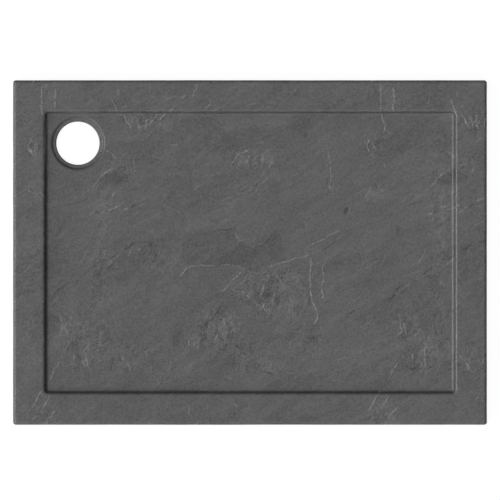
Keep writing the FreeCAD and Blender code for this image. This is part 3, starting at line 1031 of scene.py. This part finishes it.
def splits(graph, place, rough):
    """Pale and dark splinters along the grain and, where the slate split roughly, steep ones and flakes."""
    feather = graph.noise(graph.stretch(place, -42, (24.0, 150.0, 60.0)), roughness=0.6)
    steep = graph.noise(graph.stretch(place, -68, (26.0, 140.0, 60.0)), roughness=0.6)
    pale = graph.ramp(feather, 0.28, 0.60) + 3.2 * rough * graph.ramp(steep, 0.18, 0.46)
    dark = graph.ramp(-feather, 0.36, 0.66) + 1.3 * rough * graph.ramp(-steep, 0.20, 0.50)
    warp = graph.node("ShaderNodeTexNoise", {}, {"Vector": place, "Scale": 90.0, "Detail": 3.0}, "Color")
    bent = graph.node("ShaderNodeVectorMath", {"operation": "MULTIPLY_ADD"},
                      {0: warp, 1: (0.02, 0.02, 0.02), 2: place})
    flake = graph.node("ShaderNodeTexVoronoi", {"feature": "F1"},
                       {"Vector": graph.stretch(bent, -72, (50.0, 100.0, 60.0)), "Scale": 1.0}, "Color")
    crumb = graph.noise(graph.stretch(place, -78, (95.0, 230.0, 150.0)), roughness=0.7)
    crumbs = rough * (graph.ramp(crumb, 0.10, 0.36) - graph.ramp(-crumb, 0.12, 0.40))
    return {"pale": pale, "dark": dark, "flake": rough * (flake - 0.5), "crumbs": crumbs}


def veins(graph, place, mottle, grain):
    """The clefts that the mesh holds: a broken line of varying width, a twin beside it and a painted shadow.
    """
    jag, fray, widening, twin_way, twin_sway = 5.5, 2.4, 1.5, 4.6, 3.0  # millimetres, as all ramps of wander
    jagged = graph.noise(place, 55.0, detail=5.0, roughness=0.75)
    wander = graph.field("vein_side") + jag * jagged + fray * grain
    strength = graph.field("vein_strength")
    broken = strength * graph.ramp(graph.noise(place, 95.0, detail=4.0, roughness=0.75), -0.42, 0.36)
    wide = graph.ramp(mottle, -0.05, 0.35)
    line = 1.0 - graph.ramp(graph.size_of(wander) - widening * wide, 0.3, 1.9)
    apart = graph.size_of(graph.size_of(wander + twin_sway * mottle) - twin_way)
    twin = strength * graph.ramp(mottle, 0.10, 0.40) * (1.0 - graph.ramp(apart, 0.3, 1.7))
    # painted shadow: the colour darkens in a band on the right or front side of each cleft, as shade thrown
    # by a small step
    lee = broken * graph.ramp(wander, 1.2, 2.6) * (1.0 - graph.ramp(wander, 3.0, 5.5))
    return {"vein": broken * (1.0 - 0.4 * wide) * line, "twin": twin, "lee": lee}


def slate_material(slate):
    """Dark slate with terraces, streaks along the grain, clefts, and flakes and crumbs where it is rough."""
    item, graph, feed = material("slate_face", Specular_IOR_Level=0.6)
    place = graph.place()
    rough = graph.field("rough")
    mottle = graph.noise(place, 56.0, detail=4.0, roughness=0.6, distortion=1.6)
    grain = graph.noise(place, 215.0, roughness=0.8)
    along = graph.stretch(place, -31, (11.0, 56.0, 40.0))
    streaks = graph.noise(along, detail=6.0, roughness=0.68, distortion=0.9)
    layers = {"mottle": mottle, "streaks": streaks, "grain": grain * (0.92 + 0.55 * rough),
              **terraces(graph, place), **splits(graph, place, rough), **veins(graph, place, mottle, grain)}
    level = 1.0 + graph.field("lighter")
    height = 0.0
    for name, (lighter, rise) in LAYERS.items():
        if lighter:
            level = level + lighter * layers[name]
        if rise:
            height = height + rise * layers[name]
    feed("Base Color", graph.tint(slate.ground, level))
    feed("Roughness", slate.roughness + 0.12 * grain - 0.05 * layers["vein"] + 0.05 * streaks)
    feed("Normal", graph.bump(height))
    return item


class TRAY_OT_slate_face(bpy.types.Operator):
    """Build the formed sheet with its slate relief and its finish"""
    bl_idname = "tray.slate_face"
    bl_label = "Slate face"

    def execute(self, context):
        form = context.scene.tray_form
        slate = context.scene.tray_slate
        mesh = bmesh.new()
        for name in ("u", "v", "face"):
            mesh.verts.layers.float.new(name)
        Sheet(mesh, form, 0.0, form.face_step, FACE_TURNS).build()
        Sheet(mesh, form, form.sheet_thick, form.back_step, BACK_TURNS).build()
        bmesh.ops.remove_doubles(mesh, verts=mesh.verts, dist=WELD)
        close_ends(mesh)
        bmesh.ops.recalc_face_normals(mesh, faces=mesh.faces)
        if any(len(edge.link_faces) != 2 for edge in mesh.edges):
            raise RuntimeError("the formed sheet isn't closed")
        data = bpy.data.meshes.new("slate_face")
        mesh.to_mesh(data)
        mesh.free()
        carve(data, form, slate)
        data.shade_smooth()
        data.set_sharp_from_angle(angle=math.radians(SHARP_ANGLE))
        data.materials.append(slate_material(slate))
        sheet = bpy.data.objects.new("slate_face", data)
        context.scene.collection.objects.link(sheet)
        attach(sheet, BODY)
        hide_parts("slate_cap")
        return {"FINISHED"}


# ---------------------------------------------------------------- the pieces behind the face


def finish_nodes(names, finish):
    """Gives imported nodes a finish."""
    for name in names:
        node = frame["nodes"][name]
        node.data.materials.clear()
        node.data.materials.append(finish)


class TRAY_OT_casting(bpy.types.Operator):
    """Finish the mineral-filled resin casting: speckled filler and pores"""
    bl_idname = "tray.casting"
    bl_label = "Resin casting"

    def execute(self, context):
        item, graph, feed = material("resin_casting", Specular_IOR_Level=0.4)
        place = graph.place()
        cloud = graph.noise(place, 14.0, detail=4.0, roughness=0.6)
        speck = graph.noise(place, 620.0, detail=2.0, roughness=0.7)
        cell = graph.node("ShaderNodeTexVoronoi", {"feature": "F1"},
                          {"Vector": place, "Scale": 210.0, "Randomness": 1.0}, "Distance")
        pore = 1.0 - graph.ramp(cell, 0.10, 0.22)
        # the pores darken the colour as well as dent the bump: painted shade in the hollows
        level = 1.0 + 0.10 * cloud + 0.28 * speck - 0.35 * pore
        feed("Base Color", graph.tint(context.scene.tray_inside.casting, level))
        feed("Roughness", 0.62 + 0.12 * cloud + 0.10 * speck)
        feed("Normal", graph.bump(0.05 * speck + 0.12 * cloud - 0.35 * pore))
        finish_nodes(("resin_core",), item)
        return {"FINISHED"}


class TRAY_OT_laminate(bpy.types.Operator):
    """Finish the glass laminate: chopped strands under clear resin"""
    bl_idname = "tray.laminate"
    bl_label = "Glass laminate"

    def execute(self, context):
        item, graph, feed = material("glass_laminate", Specular_IOR_Level=0.5)
        place = graph.place()
        weave = 0.0
        for turn, share_of_strands in ((12, 1.0), (71, 0.8), (134, 0.6)):
            strand = graph.noise(graph.stretch(place, turn, (30.0, 700.0, 700.0)), detail=2.0)
            weave = weave + share_of_strands * graph.ramp(strand, 0.0, 0.5)
        cloud = graph.noise(place, 22.0)
        level = 0.82 + 0.16 * weave + 0.10 * cloud
        feed("Base Color", graph.tint(context.scene.tray_inside.laminate, level))
        feed("Roughness", 0.30 + 0.10 * weave + 0.06 * cloud)
        feed("Normal", graph.bump(0.10 * weave + 0.10 * cloud))
        finish_nodes(("glass_mat",), item)
        return {"FINISHED"}


class TRAY_OT_mouldings(bpy.types.Operator):
    """Finish the ring under the waste and the leg blocks: black moulded plastic with a spark-eroded grain"""
    bl_idname = "tray.mouldings"
    bl_label = "Ring and leg blocks"

    def execute(self, context):
        for slot, names in (("ring_moulding", ("waste_ring",)),
                            ("block_moulding", tuple(f"leg_block_{i}" for i in range(1, 9)))):
            item, graph, feed = material(slot, Specular_IOR_Level=0.45)
            place = graph.place()
            grain = graph.noise(place, 1100.0, detail=2.0, roughness=0.6)
            flow = graph.noise(graph.stretch(place, 25, (25.0, 120.0, 60.0)))
            level = 1.0 + 0.25 * grain + 0.18 * flow
            feed("Base Color", graph.tint(context.scene.tray_inside.moulding, level))
            feed("Roughness", 0.48 + 0.12 * grain + 0.10 * flow)
            feed("Normal", graph.bump(0.03 * grain + 0.03 * flow))
            finish_nodes(names, item)
        return {"FINISHED"}


# ---------------------------------------------------------------- floor, light and camera


def add_sun(context, name, strength, rise, turn, angle, use_shadow):
    """A sun from the left, at a rise above the ground and turned towards the front, all in degrees."""
    lamp = bpy.data.lights.new(name, "SUN")
    lamp.energy = strength
    lamp.angle = math.radians(angle)
    lamp.use_shadow = use_shadow
    rise = math.radians(rise)
    turn = math.radians(turn)
    item = bpy.data.objects.new(name, lamp)
    item.location = (-math.cos(rise) * math.cos(turn), -math.cos(rise) * math.sin(turn), math.sin(rise))
    item.rotation_euler = (-item.location).to_track_quat("-Z", "Y").to_euler()
    context.scene.collection.objects.link(item)


class TRAY_OT_stage(bpy.types.Operator):
    """Build the pale floor, the soft light from the left and the camera straight above"""
    bl_idname = "tray.stage"
    bl_label = "Floor, light and camera"

    def execute(self, context):
        scene = context.scene
        stage = scene.tray_stage
        self.add_floor(context, stage)
        self.add_light(context, stage)
        self.add_camera(context, stage)
        scene.view_settings.view_transform = "Standard"
        return {"FINISHED"}

    def add_floor(self, context, stage):
        """A wide floor of nine faces, the middle one under the tray."""
        reach = 20.0
        mesh = bmesh.new()
        bmesh.ops.create_grid(mesh, x_segments=3, y_segments=3, size=reach)
        for corner in mesh.verts:
            for axis in (0, 1):
                if abs(corner.co[axis]) < reach / 2:
                    corner.co[axis] = math.copysign(SHEET_HIGH[axis], corner.co[axis])
        for face in mesh.faces:
            face.material_index = int(face.calc_center_median().length < SHEET_HIGH.y)
        data = bpy.data.meshes.new("floor")
        mesh.to_mesh(data)
        mesh.free()
        data.materials.append(self.floor_material("floor", stage, False))
        data.materials.append(self.floor_material("floor_under_tray", stage, True))
        floor = bpy.data.objects.new("floor", data)
        floor.location.z = CAD_BOX[0].z
        context.scene.collection.objects.link(floor)

    def floor_material(self, name, stage, under_tray):
        """White to the camera, with the tray's shadow, and pale to the light that it throws back.

        Under the tray only the camera sees it, from above and through the waste hole, so that it doesn't
        cover the underside or keep the light from it.
        """
        item = bpy.data.materials.new(name)
        graph = Graph(item)
        path = graph.tree.nodes.new("ShaderNodeLightPath")
        seen = Wire(graph, path.outputs["Is Camera Ray"]) + Wire(graph, path.outputs["Is Glossy Ray"])
        seen = seen + Wire(graph, path.outputs["Is Transmission Ray"])
        matt = graph.node("ShaderNodeBsdfDiffuse", {}, {"Color": (*stage.floor, 1.0)})
        glow = graph.node("ShaderNodeEmission", {}, {"Strength": stage.floor_glow})
        bright = graph.node("ShaderNodeAddShader", {}, {0: matt, 1: glow})
        shader = graph.node("ShaderNodeMixShader", {}, {0: seen, 1: matt, 2: bright})
        if under_tray:
            shown = seen * (1.0 - graph.node("ShaderNodeNewGeometry", output="Backfacing"))
            clear = graph.node("ShaderNodeBsdfTransparent")
            shader = graph.node("ShaderNodeMixShader", {}, {0: shown, 1: clear, 2: bright})
        graph.node("ShaderNodeOutputMaterial", {}, {"Surface": shader})
        return item

    def add_light(self, context, stage):
        """Key and fill without shadows, a soft light with one, and a sky that is brighter under the floor."""
        world = bpy.data.worlds.new("sky")
        graph = Graph(world)
        way = graph.node("ShaderNodeTexCoord", output="Generated")
        rise = graph.node("ShaderNodeSeparateXYZ", {}, {0: way}, "Z")
        below = graph.node("ShaderNodeMath", {"operation": "LESS_THAN"}, {0: rise, 1: 0.0})
        strength = stage.sky + (stage.under_sky - stage.sky) * below
        sky = graph.node("ShaderNodeBackground", {}, {"Color": (1.0, 1.0, 1.0, 1.0), "Strength": strength})
        graph.node("ShaderNodeOutputWorld", {}, {"Surface": sky})
        context.scene.world = world
        add_sun(context, "key", stage.key, rise=50, turn=12, angle=10, use_shadow=False)
        add_sun(context, "fill", stage.fill, rise=42, turn=62, angle=30, use_shadow=False)
        add_sun(context, "soft", stage.soft, rise=45, turn=25, angle=125, use_shadow=True)

    def add_camera(self, context, stage):
        """A camera straight above, far enough away to see no sides."""
        lens = bpy.data.cameras.new("camera")
        lens.sensor_width = 36.0
        lens.lens = lens.sensor_width * stage.view_height / stage.view_width
        lens.clip_end = 10 * stage.view_height
        camera = bpy.data.objects.new("camera", lens)
        camera.location = (0.0, stage.view_up, SHEET_HIGH.z + stage.view_height)
        context.scene.collection.objects.link(camera)
        context.scene.camera = camera


# ---------------------------------------------------------------- panel, registration and run


OPERATORS = (TRAY_OT_slate_face, TRAY_OT_casting, TRAY_OT_laminate, TRAY_OT_mouldings, TRAY_OT_stage)
GROUPS = {"tray_form": TrayForm, "tray_slate": TraySlate, "tray_inside": TrayInside, "tray_stage": TrayStage}


class VIEW3D_PT_tray(bpy.types.Panel):
    """Pieces and settings of the shower tray"""
    bl_idname = "VIEW3D_PT_tray"
    bl_label = "Shower tray"
    bl_space_type = "VIEW_3D"
    bl_region_type = "UI"
    bl_category = "Tray"

    def draw(self, context):
        for operator in OPERATORS:
            self.layout.operator(operator.bl_idname)
        for name, group in GROUPS.items():
            box = self.layout.box()
            for field in group.__annotations__:
                box.prop(getattr(context.scene, name), field)


def register():
    for item in (*GROUPS.values(), *OPERATORS, VIEW3D_PT_tray):
        bpy.utils.register_class(item)
    for name, group in GROUPS.items():
        setattr(bpy.types.Scene, name, PointerProperty(type=group))


def unregister():
    for name in GROUPS:
        delattr(bpy.types.Scene, name)
    for item in reversed((*GROUPS.values(), *OPERATORS, VIEW3D_PT_tray)):
        bpy.utils.unregister_class(item)


def main():
    register()
    bpy.ops.tray.slate_face()
    bpy.ops.tray.casting()
    bpy.ops.tray.laminate()
    bpy.ops.tray.mouldings()
    bpy.ops.tray.stage()


if __name__ == "__main__":
    main()
